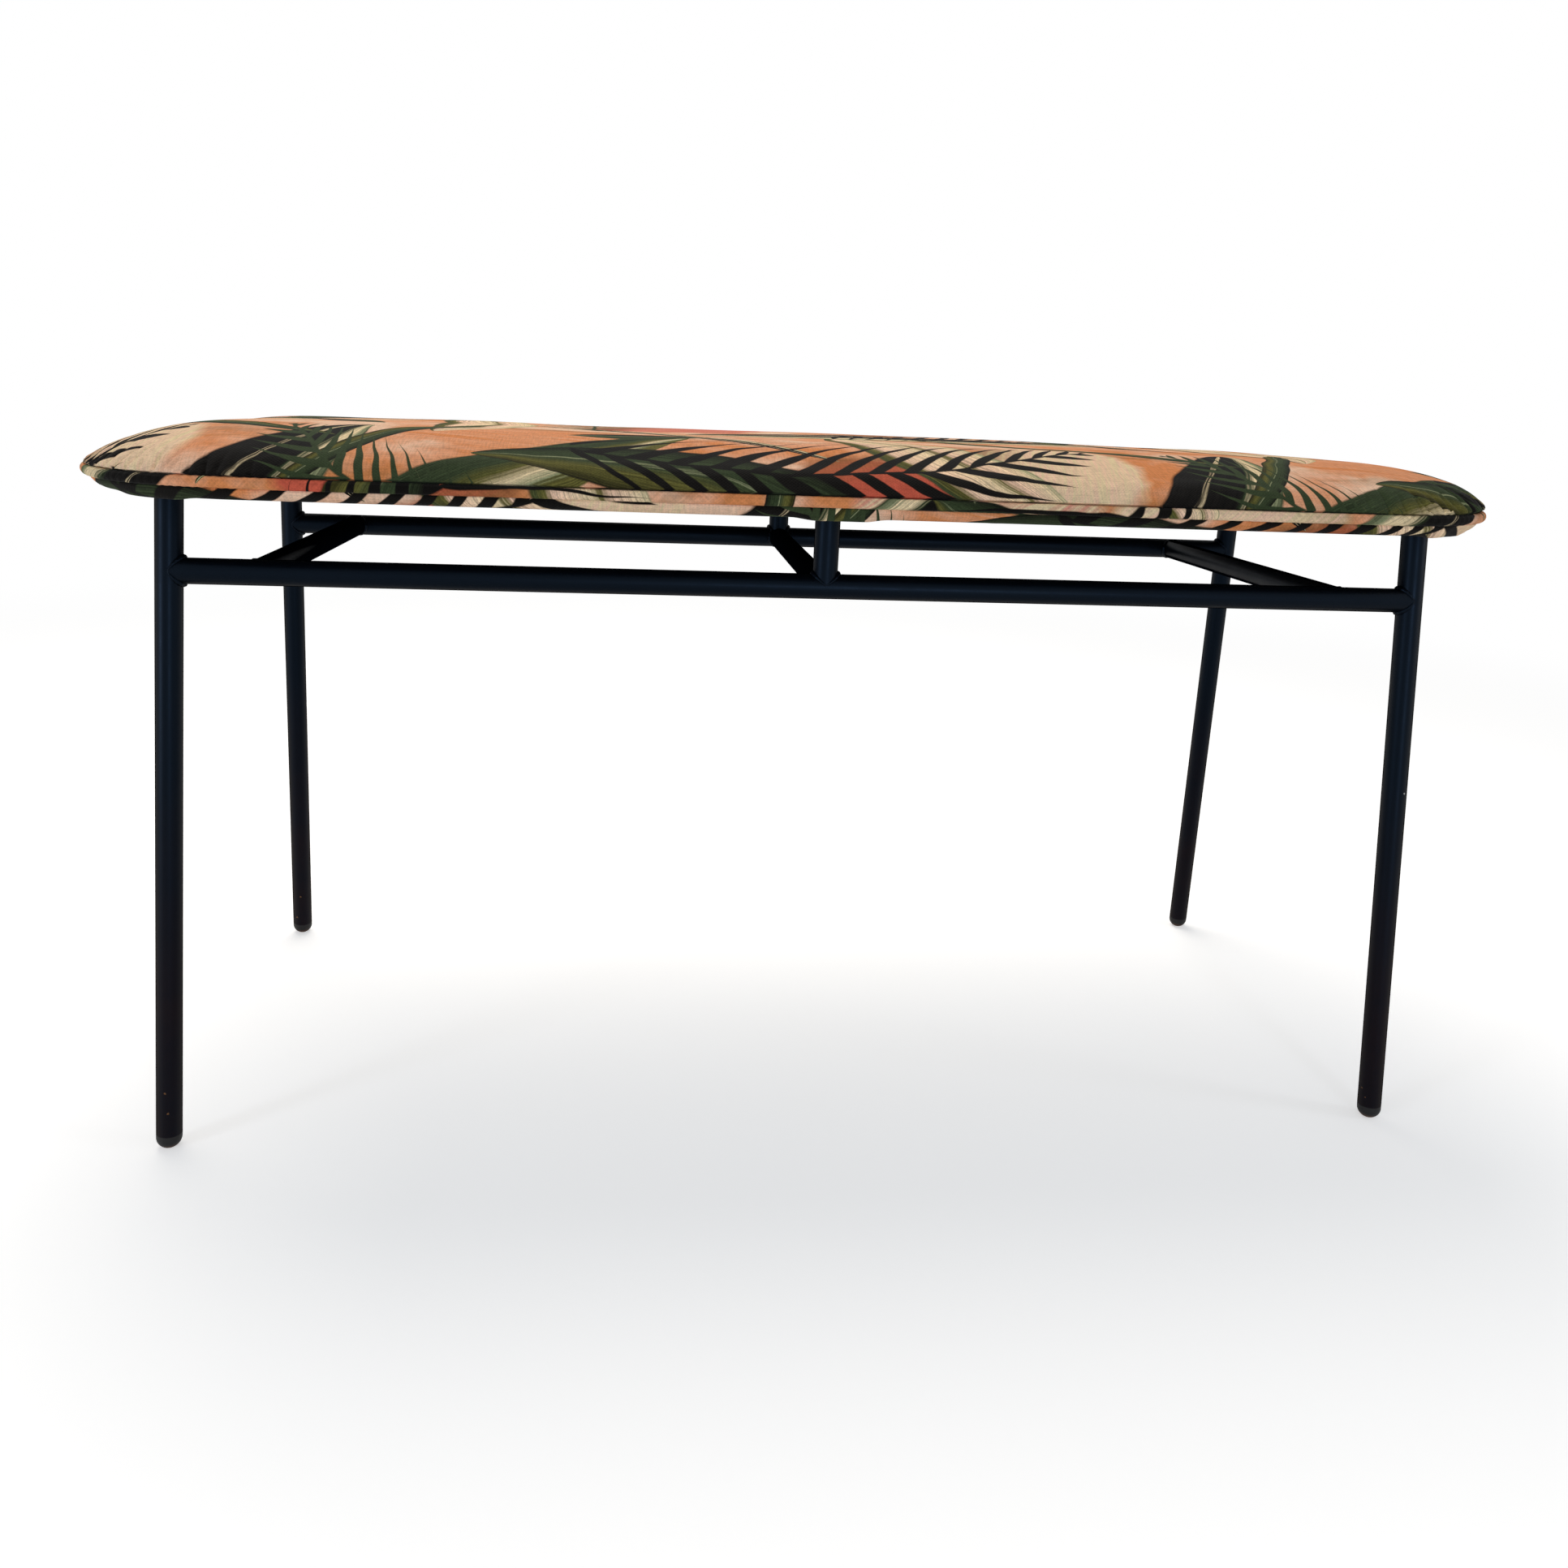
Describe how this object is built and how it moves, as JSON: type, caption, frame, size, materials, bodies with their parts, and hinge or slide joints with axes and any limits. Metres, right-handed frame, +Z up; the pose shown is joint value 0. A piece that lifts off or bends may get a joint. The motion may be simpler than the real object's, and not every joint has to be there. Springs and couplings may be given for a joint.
{
  "type": "upholstered bench",
  "caption": "Long bench with a piped, domed cloth seat on a splayed frame of round steel tube with crossbars.",
  "frame": {"origin": "on the floor, under the middle of the bench", "axes": "+X along the bench to the right as seen from the front, +Y towards the back, +Z up"},
  "size_m": [0.925, 0.381, 0.4662],
  "materials": {
    "frame_paint": "satin black, slightly chipped",
    "glide": "matt moulded",
    "plywood": "sanded, unfinished",
    "foam": "open-cell foam",
    "wadding": "loose fibre wadding",
    "printed_cloth": "printed plain-weave cotton and linen",
    "welt_cord": "twisted cotton",
    "dust_cloth": "thin black non-woven cloth",
    "zinc_steel": "zinc plated",
    "black_steel": "black oxide"
  },
  "bodies": {
    "root": {"leg_front_left": "frame_paint", "leg_front_right": "frame_paint", "leg_back_left": "frame_paint", "leg_back_right": "frame_paint", "rail_front": "frame_paint", "rail_back": "frame_paint", "crossbar_left": "frame_paint", "crossbar_middle": "frame_paint", "crossbar_right": "frame_paint", "post_front": "frame_paint", "post_back": "frame_paint", "tab_front_left": "frame_paint", "tab_front_right": "frame_paint", "tab_back_left": "frame_paint", "tab_back_right": "frame_paint", "tab_front_middle": "frame_paint", "tab_back_middle": "frame_paint", "glide_front_left": "glide", "glide_front_right": "glide", "glide_back_left": "glide", "glide_back_right": "glide", "seat_board": "plywood", "foam_pad": "foam", "wadding": "wadding", "top_cover": "printed_cloth", "piping_cover": "printed_cloth", "welt_cord": "welt_cord", "border_band": "printed_cloth", "dust_cover": "dust_cloth", "tee_nuts": "zinc_steel", "seat_bolts": "black_steel", "staples": "zinc_steel"}
  },
  "joints": []
}
